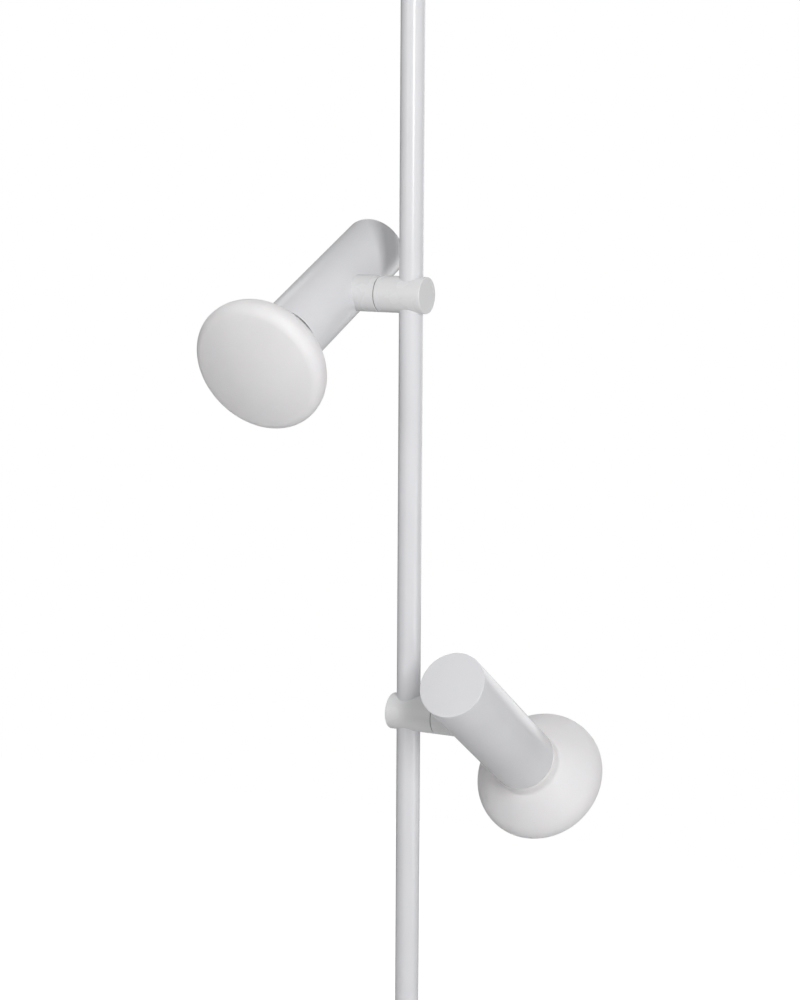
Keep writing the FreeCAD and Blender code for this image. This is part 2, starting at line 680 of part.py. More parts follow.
def head_lead():
    """Internal lead: along the arm axis through the nipple, then up the tube into the holder."""
    corners = [FreeCAD.Vector(-LEAD_R, 0, 0), FreeCAD.Vector(ARM_REACH, 0, 0),
               FreeCAD.Vector(ARM_REACH, LEAD_END, 0)]
    path = bent_path(corners, LEAD_BEND)
    lead = swept(path, LEAD_R, X_AXIS)
    print("head lead volume over section times length:",
          round(lead.Volume / (math.pi * LEAD_R ** 2 * path.Length), 4))
    return lead


def holder_body():
    """Moulded lampholder with a threaded spigot behind and a cavity for the contacts."""
    spigot = THREAD_HOLE_R - FIT
    bore = 3.5
    return along_tube(turned([
        (bore, HOLDER_SPIGOT), (spigot, HOLDER_SPIGOT), (spigot, BRACKET_FACE), (13.0, BRACKET_FACE),
        (18.5, BRACKET_FACE + 3), (HOLDER_R, BRACKET_FACE + 7), (HOLDER_R, HOLDER_MOUTH - 1),
        (HOLDER_R - 1, HOLDER_MOUTH), (HOLDER_CAVITY_R, HOLDER_MOUTH), (HOLDER_CAVITY_R, HOLDER_FLOOR),
        (bore, HOLDER_FLOOR),
    ]))


def holder_shell():
    """Brass shell that the lamp cap screws into."""
    return along_tube(turned([
        (SHELL_BORE_R, SHELL_START), (SHELL_R, SHELL_START), (SHELL_R, SHELL_END),
        (SHELL_BORE_R, SHELL_END),
    ]))


def holder_contact():
    """Sprung centre contact that follows the lamp's tip."""
    base = HOLDER_FLOOR + 0.1
    return along_tube(turned([
        (0, base), (7.0, base), (7.0, base + 1.2), (2.5, base + 1.8), (2.5, CONTACT_TIP - 2.2),
        (4.5, CONTACT_TIP - 1.8), (4.5, CONTACT_TIP), (0, CONTACT_TIP),
    ]))


def bulb_cap():
    """Screw cap: contact, insulator, ridged shell and the rim that holds the glass."""
    outline = [(0, CAP_TIP), (4.8, CAP_TIP), (4.8, CAP_TIP + 1), (11.5, CAP_THREAD_START - 1),
               (CAP_THREAD_R - CAP_THREAD_DEPTH, CAP_THREAD_START)]
    for ridge in range(CAP_THREAD_RIDGES):
        low = CAP_THREAD_START + ridge * CAP_THREAD_PITCH
        outline += [(CAP_THREAD_R, low + CAP_THREAD_PITCH * 0.35),
                    (CAP_THREAD_R, low + CAP_THREAD_PITCH * 0.65),
                    (CAP_THREAD_R - CAP_THREAD_DEPTH, low + CAP_THREAD_PITCH)]
    inner = GLASS_STEM_R + 0.1
    cavity = 11.0
    outline += [(CAP_RIM_R, GLASS_START + 1.5), (CAP_RIM_R, CAP_RIM_END), (inner, CAP_RIM_END),
                (inner, GLASS_START), (cavity, GLASS_START - 3), (cavity, CAP_THREAD_START + 3),
                (0, CAP_THREAD_START + 3)]
    return along_tube(turned(outline))


def arc_edge(centre, radius, start, end):
    """Arc in the XZ plane between two angles in degrees, measured from +X towards +Z."""
    points = []
    for angle in (start, (start + end) / 2, end):
        turn = math.radians(angle)
        points.append(FreeCAD.Vector(centre[0] + radius * math.cos(turn), 0,
                                     centre[1] + radius * math.sin(turn)))
    return Part.Arc(*points).toShape()


def line_edge(start, end):
    """Straight edge in the XZ plane."""
    first, last = [FreeCAD.Vector(x, 0, z) for x, z in (start, end)]
    return Part.LineSegment(first, last).toShape()


def shoulder_edges(start, end, inset):
    """Two arcs that widen the glass from one radius and height to another."""
    turn = 2 * math.atan((end[0] - start[0]) / (end[1] - start[1]))
    radius = (end[1] - start[1]) / (2 * math.sin(turn))
    angle = math.degrees(turn)
    return [arc_edge((start[0] + radius, start[1]), radius + inset, 180, 180 - angle),
            arc_edge((end[0] - radius, end[1]), radius - inset, -angle, 0)]


def glass_meridian(inset):
    """Outline of the glass from its stem to the middle of its front, moved inwards by inset."""
    stem = GLASS_STEM_R - inset
    neck = GLASS_NECK_R - inset
    collar = GLASS_COLLAR_R - inset
    collar_end = TUBE_FRONT + GLASS_COLLAR_RISE
    rim = (GLASS_R - REAR_RIM_R, GLASS_WIDEST)
    turn = math.radians(REAR_TURN)
    back = (rim[0] - (REAR_BACK_R - REAR_RIM_R) * math.cos(turn),
            rim[1] + (REAR_BACK_R - REAR_RIM_R) * math.sin(turn))
    fillet_x = GLASS_COLLAR_R + NECK_FILLET_R
    drop = math.sqrt((REAR_BACK_R + NECK_FILLET_R) ** 2 - (fillet_x - back[0]) ** 2)
    fillet = (fillet_x, back[1] - drop)
    fillet_angle = math.degrees(math.atan2(drop, fillet_x - back[0]))
    front = (GLASS_R - FRONT_RIM_R, GLASS_WIDEST)
    dome_r = (front[0] ** 2 + FRONT_DEPTH ** 2 - FRONT_RIM_R ** 2) / (2 * (FRONT_DEPTH - FRONT_RIM_R))
    dome_z = GLASS_WIDEST + FRONT_DEPTH - dome_r
    dome_angle = math.degrees(math.atan2(GLASS_WIDEST - dome_z, front[0]))
    return [
        line_edge((stem, GLASS_START), (stem, GLASS_STEM_END)),
        *shoulder_edges((GLASS_STEM_R, GLASS_STEM_END), (GLASS_NECK_R, GLASS_NECK_START), inset),
        line_edge((neck, GLASS_NECK_START), (neck, TUBE_FRONT)),
        *shoulder_edges((GLASS_NECK_R, TUBE_FRONT), (GLASS_COLLAR_R, collar_end), inset),
        line_edge((collar, collar_end), (collar, fillet[1])),
        arc_edge(fillet, NECK_FILLET_R + inset, 180, 180 - fillet_angle),
        arc_edge(back, REAR_BACK_R - inset, -fillet_angle, -REAR_TURN),
        arc_edge(rim, REAR_RIM_R - inset, -REAR_TURN, 0),
        arc_edge(front, FRONT_RIM_R - inset, 0, dome_angle),
        arc_edge((0, dome_z), dome_r - inset, dome_angle, 90),
    ]


def bulb_glass():
    """Blown opal glass of even wall, open at its stem."""
    outer = glass_meridian(0.0)
    inner = glass_meridian(GLASS_WALL)
    apex = GLASS_WIDEST + FRONT_DEPTH
    closing = [line_edge((0, apex), (0, apex - GLASS_WALL)),
               line_edge((GLASS_STEM_R - GLASS_WALL, GLASS_START), (GLASS_STEM_R, GLASS_START))]
    wire = Part.Wire(Part.__sortEdges__(outer + inner + closing))
    return along_tube(Part.Face(wire).revolve(ORIGIN, Z_AXIS, 360))


def led_engine():
    """Driver column with a heat spreader, the board on it and its ring of emitters."""
    spreader = 24.0
    board_back = LED_BOARD_FACE - 1.6
    column = turned([
        (0, CAP_THREAD_START + 6), (10.5, CAP_THREAD_START + 6), (10.5, 92.0), (spreader - 4, 100.0),
        (spreader, 101.5), (spreader, board_back), (0, board_back),
    ])
    solids = [column, rod(Z_AXIS, LED_BOARD_R, board_back, LED_BOARD_FACE)]
    half = LED_SIZE / 2
    for step in range(LED_COUNT):
        emitter = block((LED_RING_R - half, LED_RING_R + half), (-half, half),
                        (LED_BOARD_FACE, LED_BOARD_FACE + 0.8))
        solids.append(emitter.rotated(ORIGIN, Z_AXIS, 360 * step / LED_COUNT))
    return along_tube(Part.makeCompound(solids))


# ---------------------------------------------------------------- assembly

def write(name, shape):
    """Check a node and save it."""
    solids = shape.Solids
    if not shape.isValid() or not solids or min(solid.Volume for solid in solids) <= 0:
        raise RuntimeError(name + " isn't a sound solid")
    shape.exportStep("parts/" + name + ".step")


def moved(shape, placement):
    """Copy of a shape, placed."""
    copy = shape.copy()
    copy.Placement = placement.multiply(copy.Placement)
    return copy


def write_head(prefix, height, azimuth, tilt, screw_side):
    """Write one head: what stays with the clamp, then what tilts with the tube."""
    place = FreeCAD.Placement(Z_AXIS * height, FreeCAD.Rotation(Z_AXIS, azimuth))
    clamp_parts = {
        "clamp_body": clamp_body(screw_side), "clamp_liner": clamp_liner(),
        "clamp_screw": clamp_screw(screw_side), "stop_pin": stop_pin(), "friction_disc": friction_disc(),
        "pivot_nipple": pivot_nipple(), "disc_spring": disc_spring(), "pivot_nut": pivot_nut(),
    }
    tilting_parts = {
        "arm_stub": arm_stub(), "head_tube": head_tube(), "back_cap": back_cap(),
        "saddle_washer": saddle_washer(), "holder_bracket": holder_bracket(), "head_lead": head_lead(),
        "holder_body": holder_body(), "holder_shell": holder_shell(), "holder_contact": holder_contact(),
        "bulb_cap": bulb_cap(), "bulb_glass": bulb_glass(), "led_engine": led_engine(),
    }
    for name, shape in clamp_parts.items():
        write(prefix + name, moved(shape, place))
    for name, shape in tilting_parts.items():
        write(prefix + name, moved(shape.rotated(ORIGIN, X_AXIS, -tilt), place))


def main():
    os.makedirs("parts", exist_ok=True)
    pole_parts = {
        "floor_pad": floor_pad(), "floor_foot": floor_foot(), "cable_gland": cable_gland(),
        "terminal_block": terminal_block(), "pole_lower": pole_lower(), "pole_middle": pole_middle(),
        "pole_upper": pole_section(UPPER_JOINT, POLE_TOP), "joint_sleeves": joint_sleeves(),
        "joint_screws": joint_screws(), "feed_cables": feed_cables(), "lock_collar": lock_collar(),
        "lock_pad": lock_pad(), "thumb_screw": thumb_screw(), "telescopic_tube": telescopic_tube(),
        "plunger_bush": plunger_bush(), "tension_spring": tension_spring(), "plunger_rod": plunger_rod(),
        "ceiling_cup": ceiling_cup(), "ceiling_pad": ceiling_pad(),
    }
    for name, shape in pole_parts.items():
        write(name, shape)
    write_head("upper_", UPPER_HEIGHT, UPPER_AZIMUTH, UPPER_TILT, -1)
    write_head("lower_", LOWER_HEIGHT, LOWER_AZIMUTH, LOWER_TILT, 1)


main()
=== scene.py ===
# %% [markdown]
# # A tension pole lamp
# The lamp is a slim white pole held between floor and ceiling, with two spot heads on opposite sides.
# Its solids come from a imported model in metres, +Z up, with the origin under the middle of the floor pad.
# This script gives the lamp its looks. Parts that move with a joint keep moving with it, because every
# piece made here rides on a body of that model.

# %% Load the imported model
import json
import math

import bmesh
import bpy
from mathutils import Matrix, Vector


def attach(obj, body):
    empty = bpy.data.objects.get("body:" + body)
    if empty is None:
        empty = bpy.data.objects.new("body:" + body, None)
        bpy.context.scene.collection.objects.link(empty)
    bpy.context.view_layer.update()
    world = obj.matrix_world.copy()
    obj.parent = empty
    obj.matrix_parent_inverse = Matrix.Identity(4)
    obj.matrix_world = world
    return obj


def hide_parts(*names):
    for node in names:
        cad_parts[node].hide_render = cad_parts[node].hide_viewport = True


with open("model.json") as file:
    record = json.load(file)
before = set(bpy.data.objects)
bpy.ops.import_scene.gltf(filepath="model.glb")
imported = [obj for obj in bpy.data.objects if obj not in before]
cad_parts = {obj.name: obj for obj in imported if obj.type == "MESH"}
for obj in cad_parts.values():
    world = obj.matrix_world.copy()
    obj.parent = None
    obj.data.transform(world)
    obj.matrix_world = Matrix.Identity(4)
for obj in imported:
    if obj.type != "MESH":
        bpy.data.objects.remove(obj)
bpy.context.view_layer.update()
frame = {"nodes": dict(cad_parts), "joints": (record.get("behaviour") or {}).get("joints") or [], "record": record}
nodes = frame["nodes"]
joints = {joint["name"]: joint for joint in frame["joints"]}
MM = 0.001
HEADS = ("upper", "lower")

# %% [markdown]
# ## Camera
# The photograph looks slightly down on the lamp, from a standing person's eye level, at the stretch of
# pole that carries the heads. It takes in a metre of pole from 2.5 m away, so the lens is a long one.
# The camera also leans by a third of a degree, which shows in the pole's slant.

# %% Place the camera
CAMERA_PLACE = (1.1677, -2.2586, 1.6892)
CAMERA_TURN = math.radians(27.57)    # from looking along +Y, towards -X
CAMERA_DROP = math.radians(8.56)     # below the horizon
CAMERA_LEAN = math.radians(0.33)     # the picture's top edge towards the right
FILM_SIDE = 36.0                     # long side, millimetres
LENS = 88.81


def make_camera():
    """Camera at its measured place; its axes follow from turn, drop and lean."""
    ahead = Vector((-math.sin(CAMERA_TURN) * math.cos(CAMERA_DROP),
                    math.cos(CAMERA_TURN) * math.cos(CAMERA_DROP), -math.sin(CAMERA_DROP)))
    level = Vector((math.cos(CAMERA_TURN), math.sin(CAMERA_TURN), 0))
    right = level * math.cos(CAMERA_LEAN) + level.cross(ahead) * math.sin(CAMERA_LEAN)
    data = bpy.data.cameras.new("camera")
    data.lens = LENS
    data.sensor_width = FILM_SIDE
    made = bpy.data.objects.new("camera", data)
    bpy.context.scene.collection.objects.link(made)
    made.matrix_world = Matrix((right, right.cross(ahead), -ahead)).transposed().to_4x4()
    made.location = CAMERA_PLACE
    return made


camera = make_camera()
bpy.context.scene.camera = camera
print("camera height:", round(camera.location.z, 2), "lens:", camera.data.lens)

# %% [markdown]
# ## Colours and material nodes
# Every colour is written as the sRGB hex value that a screen shows, and one function turns it into the
# linear numbers that the renderer works with. A second function adds any node with its settings, its
# values and its links, so each material below reads as a short recipe.

# %% Colour and node helpers
def linear(hex_colour):
    """Linear RGBA of an sRGB hex colour."""
    channels = [int(hex_colour[start:start + 2], 16) / 255 for start in (1, 3, 5)]
    return (*[c / 12.92 if c <= 0.04045 else ((c + 0.055) / 1.055) ** 2.4 for c in channels], 1.0)


def add_node(tree, kind, links=None, values=None, **settings):
    """Add a node: settings are its properties, values fill its sockets, links feed them."""
    node = tree.nodes.new(kind)
    for name, value in settings.items():
        setattr(node, name, value)
    for socket, value in (values or {}).items():
        node.inputs[socket].default_value = value
    for socket, source in (links or {}).items():
        tree.links.new(source, node.inputs[socket])
    return node


def noise(tree, size, detail=2.0):
    """Noise on Object coordinates whose blotches are about size metres across."""
    place = add_node(tree, "ShaderNodeTexCoord").outputs["Object"]
    return add_node(tree, "ShaderNodeTexNoise", {"Vector": place},
                    {"Scale": 1 / size, "Detail": detail}).outputs["Fac"]


def between(tree, factor, low, high):
    """A number that runs from low to high with a factor from 0.3 to 0.7, the usual spread of noise."""
    return add_node(tree, "ShaderNodeMapRange", {"Value": factor},
                    {"From Min": 0.3, "From Max": 0.7, "To Min": low, "To Max": high}).outputs["Result"]


def tint(tree, factor, first, second):
    """Colour between two hex colours."""
    node = add_node(tree, "ShaderNodeMix", {0: between(tree, factor, 0.0, 1.0)}, data_type="RGBA")
    node.inputs["A"].default_value = linear(first)
    node.inputs["B"].default_value = linear(second)
    return node.outputs["Result"]


def new_material(name):
    """Material with an empty node tree."""
    material = bpy.data.materials.new(name)
    material.use_nodes = True
    material.node_tree.nodes.clear()
    return material, material.node_tree


def surface(tree, links, values, height=None, relief=0.0):
    """Principled shader on the output; height gives it a bump of relief metres."""
    shader = add_node(tree, "ShaderNodeBsdfPrincipled", links, values)
    if height is not None:
        bump = add_node(tree, "ShaderNodeBump", {"Height": height}, {"Distance": relief})
        tree.links.new(bump.outputs["Normal"], shader.inputs["Normal"])
    add_node(tree, "ShaderNodeOutputMaterial", {"Surface": shader.outputs["BSDF"]})


print("mid grey in linear light:", round(linear("#808080")[0], 3))

# %% [markdown]
# ## White stoving enamel
# Pole, foot and heads are sprayed with white enamel and baked. That gives a smooth glossy film with a
# faint orange peel: low ripples about 3 mm apart. The white is a cool one, and a shade lighter where
# the film is thick. The ripples are a few micrometres high, and are drawn just high enough to show.

# %% Enamel on steel and on aluminium
PEEL_SIZE = 3 * MM
FILM_CLOUD = 90 * MM


def make_enamel(name, thin, thick, roughness, relief):
    """Glossy baked enamel: cloudy film, orange peel and an even, polished gloss."""
    material, tree = new_material(name)
    cloud = noise(tree, FILM_CLOUD)
    surface(tree, {"Base Color": tint(tree, cloud, thin, thick),
                   "Roughness": between(tree, noise(tree, 25 * MM), roughness - 0.03, roughness + 0.03)},
            {"IOR": 1.43}, noise(tree, PEEL_SIZE, 1.0), relief)
    return material


enamel = make_enamel("white_stoving_enamel", "#D5D5D8", "#DADADD", 0.23, 0.010 * MM)
cast_enamel = make_enamel("white_enamel_on_aluminium", "#D8D8D9", "#DCDCDD", 0.26, 0.014 * MM)
print("enamels:", enamel.name, cast_enamel.name)

# %% [markdown]
# ## Opal glass
# The lamp's envelope is blown glass with a white layer inside that scatters light. It is warmer than the
# enamel, satin rather than glossy, and light travels a few millimetres in it, which softens its shading.
# Hand-blown glass also has a slow unevenness, too faint to see except in reflections.

# %% Opal glass
def make_opal_glass():
    """Satin opal glass that scatters light under its surface."""
    material, tree = new_material("opal_glass")
    surface(tree, {"Base Color": tint(tree, noise(tree, 45 * MM), "#EAE6E6", "#EEEAE9"),
                   "Roughness": between(tree, noise(tree, 30 * MM), 0.54, 0.60)},
            {"IOR": 1.45, "Subsurface Weight": 0.6, "Subsurface Radius": (1.0, 0.9, 0.8),
             "Subsurface Scale": 6 * MM}, noise(tree, 40 * MM, 0.0), 0.1 * MM)
    return material


opal = make_opal_glass()
print("glass:", opal.name)

# %% [markdown]
# ## Metals inside and on the ends
# Springs, screws and brackets are bright zinc plate, whose crystals give it a cloudy, bluish sparkle.
# The lampholder's shell is rolled brass with fine lines round it, and the lamp's cap is nickel plate.
# All are metallic, with no colour but their reflections' tint, so they keep the default IOR.

# %% Plated metals and brass
def make_metal(name, dull, bright, roughness, grain, relief):
    """Metal whose reflections vary in tint and blur over grain metres."""
    material, tree = new_material(name)
    mottle = noise(tree, grain, 4.0)
    surface(tree, {"Base Color": tint(tree, mottle, dull, bright),
                   "Roughness": between(tree, mottle, roughness + 0.08, roughness - 0.05)},
            {"Metallic": 1.0}, mottle, relief)
    return material


zinc = make_metal("bright_zinc_plate", "#AEB3BA", "#CDD1D6", 0.28, 4 * MM, 0.02 * MM)
brass = make_metal("rolled_brass", "#C49A4E", "#DDB86C", 0.22, 2 * MM, 0.01 * MM)
nickel = make_metal("nickel_plate", "#BDB9AF", "#D9D5CC", 0.16, 6 * MM, 0.01 * MM)
cast_aluminium = make_metal("die_cast_aluminium", "#A9ABAD", "#BFC1C3", 0.45, 1.5 * MM, 0.03 * MM)
print("metals:", zinc.name, brass.name, nickel.name)

# %% [markdown]
# ## Plastics and rubber
# The pads are moulded rubber: nearly black, dull, with the fine grain of a sand-blasted mould. The pole's
# bushes are natural nylon, milky and waxy. The lampholder is black phenolic, hard and fairly glossy, and
# the internal leads have a soft white PVC sheath. Each is one recipe with its own grain size.

# %% Mouldings
def make_moulding(name, first, second, roughness, grain, relief, subsurface=0.0):
    """Moulded plastic or rubber with the mould's grain on it."""
    material, tree = new_material(name)
    surface(tree, {"Base Color": tint(tree, noise(tree, 12 * grain), first, second),
                   "Roughness": between(tree, noise(tree, 3 * grain), roughness - 0.05, roughness + 0.05)},
            {"IOR": 1.5, "Subsurface Weight": subsurface, "Subsurface Scale": 2 * MM},
            noise(tree, grain, 3.0), relief)
    return material


rubber = make_moulding("moulded_rubber", "#232323", "#2C2B2A", 0.72, 0.8 * MM, 0.05 * MM)
nylon = make_moulding("natural_nylon", "#DCD8C8", "#E4E0D2", 0.42, 1.2 * MM, 0.02 * MM, 0.3)
phenolic = make_moulding("black_phenolic", "#1B1A19", "#242220", 0.30, 1.0 * MM, 0.01 * MM)
sheath = make_moulding("white_pvc_sheath", "#D6D5D0", "#DEDDD9", 0.45, 0.8 * MM, 0.02 * MM, 0.1)
board_mask = make_moulding("white_solder_mask", "#E6E7E2", "#EEEFEA", 0.35, 0.6 * MM, 0.01 * MM)
fibre = make_moulding("grey_fibre", "#6E6D6B", "#797876", 0.70, 0.5 * MM, 0.02 * MM)
phosphor = make_moulding("yellow_phosphor", "#D9B63C", "#E6C44C", 0.55, 0.3 * MM, 0.02 * MM, 0.2)
print("mouldings:", rubber.name, nylon.name, phenolic.name, sheath.name)

# %% [markdown]
# ## Finishes for the parts that keep their shape
# Clamps, screws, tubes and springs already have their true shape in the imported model. They keep it, and
# only get a material. The table below gives each of the record's finishes its material.

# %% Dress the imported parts
FINISHES = {
    "white_lacquer": enamel, "lacquered_aluminium": cast_enamel, "black_rubber": rubber, "nylon": nylon,
    "zinc_steel": zinc, "cable_sheath": sheath, "holder_phenolic": phenolic, "brass": brass,
    "nickelled_cap": nickel, "opal_glass": opal, "led_board": board_mask,
}
slots = {part["node"]: part["material_slot"] for part in frame["record"]["subparts"]}

for node, thing in nodes.items():
    thing.data.materials.clear()
    seam = node.endswith("friction_disc")
    thing.data.materials.append(fibre if seam else FINISHES[slots[node]])
print("dressed:", len(slots), "parts in", len(set(slots.values())), "finishes")

# %% [markdown]
# ## A tree that turns outlines
# Tubes, caps, pads and lamp glasses are all turned or blown round an axis, so one rule shapes them: an
# outline sweeps once round. It could be done with the Spin tool, but a Geometry Nodes tree keeps the
# rule visible. The outline, the number of segments and the material are its inputs.

# %% The turning tree
SWEEP_R = 50 * MM     # radius of the ring that carries the outline round; it cancels out


def make_turning_tree():
    """Tree that sweeps an outline of radius and height round the Z axis."""
    tree = bpy.data.node_groups.new("turned_piece", "GeometryNodeTree")
    tree.interface.new_socket("Geometry", in_out="OUTPUT", socket_type="NodeSocketGeometry")
    for name, kind in (("Outline", "Object"), ("Segments", "Int"), ("Material", "Material")):
        tree.interface.new_socket(name, in_out="INPUT", socket_type="NodeSocket" + kind)
    given = add_node(tree, "NodeGroupInput").outputs
    outline = add_node(tree, "GeometryNodeObjectInfo", {"Object": given["Outline"]})
    shifted = add_node(tree, "GeometryNodeTransform", {"Geometry": outline.outputs["Geometry"]},
                       {"Translation": (-SWEEP_R, 0, 0), "Scale": (1, -1, 1)})
    ring = add_node(tree, "GeometryNodeCurvePrimitiveCircle", {"Resolution": given["Segments"]},
                    {"Radius": SWEEP_R})
    upright = add_node(tree, "GeometryNodeSetCurveNormal", {"Curve": ring.outputs["Curve"]}, mode="Z_UP")
    swept = add_node(tree, "GeometryNodeCurveToMesh", {
        "Curve": upright.outputs["Curve"], "Profile Curve": shifted.outputs["Geometry"]})
    merged = add_node(tree, "GeometryNodeMergeByDistance", {"Geometry": swept.outputs["Mesh"]},
                      {"Distance": 0.002 * MM})
    real = add_node(tree, "GeometryNodeRealizeInstances", {"Geometry": merged.outputs["Geometry"]})
    painted = add_node(tree, "GeometryNodeSetMaterial", {
        "Geometry": real.outputs["Geometry"], "Material": given["Material"]})
    add_node(tree, "NodeGroupOutput", {"Geometry": painted.outputs["Geometry"]})
    return tree


turning = make_turning_tree()
print("turning tree:", len(turning.nodes), "nodes")

# %% [markdown]
# ## From a tree to a finished piece
# A tree's result becomes a plain mesh here. Its normals are set outwards, its place is written into its
# vertices, and edges sharper than 35 degrees stay crisp. The piece then rides on its body and stands for
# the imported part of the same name.

# %% Helpers that run a tree and finish a piece
CRISP = math.radians(35)


def grow(name, tree, **inputs):
    """Run a tree on an empty mesh with named inputs and return the result as a plain mesh."""
    carrier = bpy.data.objects.new(name + "_carrier", bpy.data.meshes.new(name + "_carrier"))
    bpy.context.scene.collection.objects.link(carrier)
    modifier = carrier.modifiers.new("tree", "NODES")
    modifier.node_group = tree
    for item in tree.interface.items_tree:
        if item.in_out == "INPUT":
            modifier[item.identifier] = inputs[item.name.replace(" ", "_").lower()]
    evaluated = carrier.evaluated_get(bpy.context.evaluated_depsgraph_get())
    mesh = bpy.data.meshes.new_from_object(evaluated)
    mesh.name = name
    bpy.data.objects.remove(carrier)
    return mesh


def settle(name, mesh, place, body, node=None):
    """Give a mesh its place, outward normals and crisp edges, and hang it on its body."""
    work = bmesh.new()
    work.from_mesh(mesh)
    bmesh.ops.transform(work, matrix=place, verts=work.verts)
    bmesh.ops.recalc_face_normals(work, faces=work.faces)
    work.to_mesh(mesh)
    work.free()
    mesh.shade_smooth()
    mesh.set_sharp_from_angle(angle=CRISP)
    piece = bpy.data.objects.new(name, mesh)
    bpy.context.scene.collection.objects.link(piece)
    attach(piece, body)
    if node:
        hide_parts(node)
    return piece


def turn(name, outline, material, segments=96):
    """Mesh of a closed outline of (radius, height) in millimetres, swept round Z."""
    curve = bpy.data.curves.new(name + "_outline", "CURVE")
    curve.dimensions = "3D"
    spline = curve.splines.new("POLY")
    spline.points.add(len(outline) - 1)
    for point, (radius, height) in zip(spline.points, outline):
        point.co = (radius * MM, height * MM, 0, 1)
    spline.use_cyclic_u = outline[0][0] > 0
    holder = bpy.data.objects.new(name + "_outline", curve)
    bpy.context.scene.collection.objects.link(holder)
    mesh = grow(name, turning, outline=holder, segments=segments, material=material)
    bpy.data.objects.remove(holder)
    return mesh


print("pieces get crisp edges above", round(math.degrees(CRISP)), "degrees")

# %% [markdown]
# ## Rounded edges
# No real edge is perfectly sharp: the enamel flows over it and leaves a round of half a millimetre,
# which catches a thin line of light. This helper replaces each corner of an outline by a small arc. It
# also adds a point just beside each arc, so that the flat faces next to it stay flat in the shading.

# %% Round the corners of an outline
def soften(corners, radius, steps=4):
    """Outline with its corners rounded; those on the axis stay as they are."""
    closed = corners[0][0] > 0
    count = len(corners)
    result = []
    for index, (x, y) in enumerate(corners):
        if not closed and index in (0, count - 1):
            result.append((x, y))
            continue
        before = Vector(corners[index - 1]) - Vector((x, y))
        after = Vector(corners[(index + 1) % count]) - Vector((x, y))
        half = before.angle(after) / 2
        room = 0.4 * min(before.length, after.length)
        setback = min(radius / math.tan(half), room)
        support = min(1.5 * setback, room)
        start = Vector((x, y)) + before.normalized() * setback
        end = Vector((x, y)) + after.normalized() * setback
        result.append(tuple(Vector((x, y)) + before.normalized() * support))
        for step in range(steps + 1):
            part = step / steps
            point = start * (1 - part) ** 2 + Vector((x, y)) * 2 * part * (1 - part) + end * part ** 2
            result.append(tuple(point))
        result.append(tuple(Vector((x, y)) + after.normalized() * support))
    return result


print("a softened square has", len(soften([(1, 0), (2, 0), (2, 1), (1, 1)], 0.2)), "points")

# %% [markdown]
# ## Where the heads are
# The joints already say where each head is: the lamp turns on the tube's axis, and the head tilts on the
# arm's axis. Each head gets a frame of its own from them, with X out along the arm, Z along the tube
# towards the glass, and the origin where the two cross. Its pieces are then drawn once for both heads.

# %% Frames of the heads
def head_frame(head):
    """Matrix of a head: X along the arm, Z along the tube, origin where they cross."""
    lamp = joints[head + "_bulb_turn"]
    along_tube = Vector(lamp["axis"]).normalized()
    along_arm = Vector(joints[head + "_tilt"]["axis"]).normalized()
    turned = Matrix((along_arm, along_tube.cross(along_arm), along_tube)).transposed().to_4x4()
    return Matrix.Translation(lamp["pos_m"]) @ turned


places = {head: head_frame(head) for head in HEADS}
for head in HEADS:
    print(head, "head crosses its arm at", [round(value, 3) for value in places[head].translation])

# %% [markdown]
# ## Drilled holes
# Holes are cut after turning, as a drill would do it: each is a rod along its own direction, taken away
# from the piece. Crisp edges are marked again afterwards, so that the holes' rims show.

# %% Drill holes
def drill(piece, place, *holes):
    """Take rods away from a piece: each has a direction, a radius, a start, an end and an offset."""
    for direction, radius, start, end, *offset in holes:
        mesh = turn("drill", [(0, start), (radius, start), (radius, end), (0, end)], enamel, 64)
        turned = Vector(direction).to_track_quat("Z", "Y").to_matrix().to_4x4()
        shift = Matrix.Translation(Vector(offset or (0, 0, 0)) * MM)
        mesh.transform(place @ shift @ turned)
        rod = bpy.data.objects.new("drill", mesh)
        bpy.context.scene.collection.objects.link(rod)
        hole = piece.modifiers.new("hole", "BOOLEAN")
        hole.object = rod
        hole.solver = "EXACT"
    evaluated = piece.evaluated_get(bpy.context.evaluated_depsgraph_get())
    piece.data = bpy.data.meshes.new_from_object(evaluated)
    piece.data.set_sharp_from_angle(angle=CRISP)
    for hole in piece.modifiers:
        bpy.data.objects.remove(hole.object)
    piece.modifiers.clear()


print("holes are cut with 64-sided rods")

# %% [markdown]
# ## Head tubes
# Each head is a straight tube, 70 mm across and 208 mm long, closed by a flat cap behind and open at the
# glass. Its mouth has a turned-over lip that shows as a thin bright line. The tube is turned from its
# wall's outline, and then drilled for the pivot that comes in from the arm.

# %% Turn the head tubes
TUBE_R = 35.0
TUBE_WALL = 1.5
TUBE_BACK = 102.5
TUBE_FRONT = 105.5
CAP_PLATE = 2.0
LIP_ROUND = 0.7
PIVOT_HOLE_R = 5.05


def make_tube(head):
    """Straight tube with rounded mouth and the pivot's hole in its side."""
    bore = TUBE_R - TUBE_WALL
    wall = soften([(bore, CAP_PLATE - TUBE_BACK), (TUBE_R, CAP_PLATE - TUBE_BACK), (TUBE_R, TUBE_FRONT),
                   (bore, TUBE_FRONT)], LIP_ROUND)
    piece = settle(head + "_tube", turn(head + "_tube", wall, enamel, 128), places[head], head + "_head",
                   head + "_head_tube")
    drill(piece, places[head], ((-1, 0, 0), PIVOT_HOLE_R, 0, 60))
    return piece


for head in HEADS:
    tube = make_tube(head)
    print(tube.name, len(tube.data.polygons), "faces")

# %% [markdown]
# ## Clamps
# A clamp is a short cylinder lying across the pole, bored through for it. Both ends are turned to a small
# round that catches a thin rim of light, and the dark seam of the friction disc stands between clamp and
# arm. The pole's bore is wider in the middle, for a liner. Smaller holes take the pivot's thread, the
# clamp screw and the stop pin.

